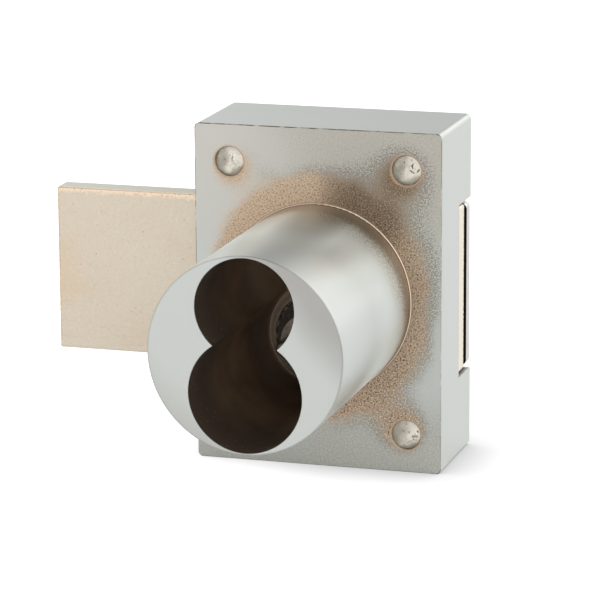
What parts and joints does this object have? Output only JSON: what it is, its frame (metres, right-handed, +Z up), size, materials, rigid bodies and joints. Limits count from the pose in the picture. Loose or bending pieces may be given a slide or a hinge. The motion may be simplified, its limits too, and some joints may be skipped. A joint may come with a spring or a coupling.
{
  "type": "cabinet deadbolt lock",
  "caption": "Small die-cast deadbolt lock for a drawer or cabinet front, with a figure-eight interchangeable-core barrel and a flat bolt thrown sideways by a crank.",
  "frame": {"origin": "on the barrel's axis, in the plane of the case's front face, where the lock meets the back of a drawer or door front", "axes": "+X to the right seen from the front, +Y into the case away from the viewer, +Z up; the barrel points along -Y and the bolt is thrown towards -X"},
  "size_m": [0.0633, 0.0539, 0.0508],
  "materials": {
    "plated_casting": "satin chrome plate over a zinc die casting, stained tan round the barrel",
    "plated_plate": "satin chrome plate over a pressed steel plate",
    "bolt_metal": "satin plated steel, tumbled, tan at its worn edges",
    "driver_metal": "rough turned steel, dark and dusty",
    "prong_steel": "ground steel pins",
    "washer_bronze": "stamped bronze, oiled",
    "crank_steel": "blanked steel with a sheared edge",
    "spring_steel": "blued spring steel",
    "rivet_steel": "peened steel, scarred, with a stained rim"
  },
  "bodies": {
    "case": {"case": "plated_casting", "back_plate": "plated_plate", "thrust_washer": "washer_bronze", "bolt_spring": "spring_steel", "rivet_upper_left": "rivet_steel", "rivet_upper_right": "rivet_steel", "rivet_lower_left": "rivet_steel", "rivet_lower_right": "rivet_steel"},
    "driver": {"driver": "driver_metal", "prong_left": "prong_steel", "prong_right": "prong_steel", "crank_plate": "crank_steel", "crank_pin": "prong_steel"},
    "bolt": {"bolt": "bolt_metal"}
  },
  "joints": [
    {"name": "driver_turn", "type": "hinge", "parent": "case", "child": "driver", "pos_m": [0, 0, -0.00565], "axis": [0, 1, 0], "range_deg": [0, 180]},
    {"name": "bolt_slide", "type": "slide", "parent": "case", "child": "bolt", "axis": [1, 0, 0], "range_m": [0, 0.0254]}
  ],
  "couplings": [
    {"joint": "driver_turn", "follows": "bolt_slide", "rad_per_m": 123.68}
  ]
}
